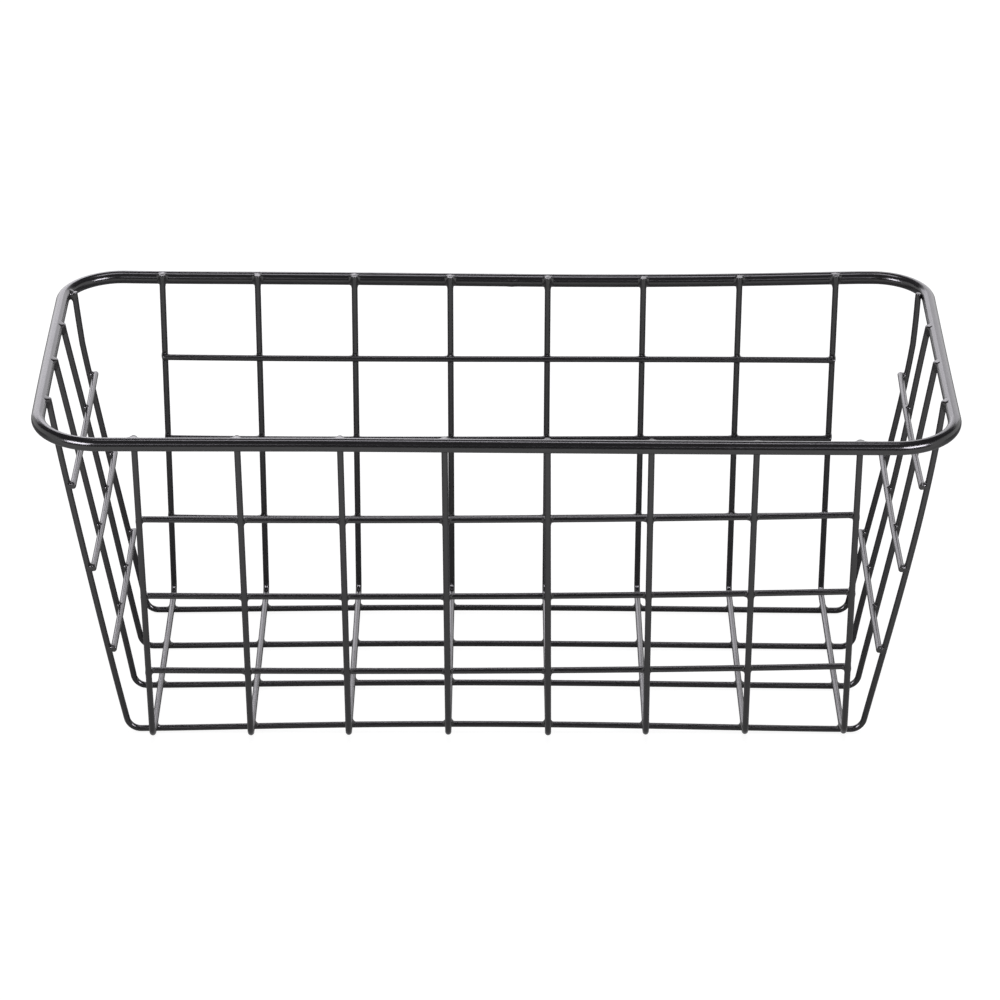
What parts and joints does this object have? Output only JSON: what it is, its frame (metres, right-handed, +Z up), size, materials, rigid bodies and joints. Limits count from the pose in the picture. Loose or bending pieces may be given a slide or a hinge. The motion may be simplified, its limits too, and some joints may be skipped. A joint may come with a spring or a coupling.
{
  "type": "wire wall basket",
  "caption": "Open wire basket with a thick rounded rim loop, leaning mesh walls, a mesh floor and a nearly upright back that goes against a wall.",
  "frame": {"origin": "on the surface that the basket stands on, under the middle of the rim", "axes": "+X along the basket to the viewer's right, +Y toward the wall behind it, +Z up"},
  "size_m": [0.3634, 0.163, 0.1522],
  "materials": {
    "rim_coat": "satin black powder coat on steel bar",
    "wire_coat": "satin black powder coat on steel wire"
  },
  "bodies": {
    "root": {"rim": "rim_coat", "front_to_back_wire_1": "wire_coat", "front_to_back_wire_2": "wire_coat", "front_to_back_wire_3": "wire_coat", "front_to_back_wire_4": "wire_coat", "front_to_back_wire_5": "wire_coat", "front_to_back_wire_6": "wire_coat", "front_to_back_wire_7": "wire_coat", "front_to_back_wire_8": "wire_coat", "side_to_side_wire_1": "wire_coat", "side_to_side_wire_2": "wire_coat", "side_to_side_wire_3": "wire_coat", "side_to_side_wire_4": "wire_coat", "front_rail_1": "wire_coat", "front_rail_2": "wire_coat", "front_rail_3": "wire_coat", "back_rail_1": "wire_coat", "back_rail_2": "wire_coat", "back_rail_3": "wire_coat", "left_rail_1": "wire_coat", "left_rail_2": "wire_coat", "left_rail_3": "wire_coat", "right_rail_1": "wire_coat", "right_rail_2": "wire_coat", "right_rail_3": "wire_coat"}
  },
  "joints": []
}
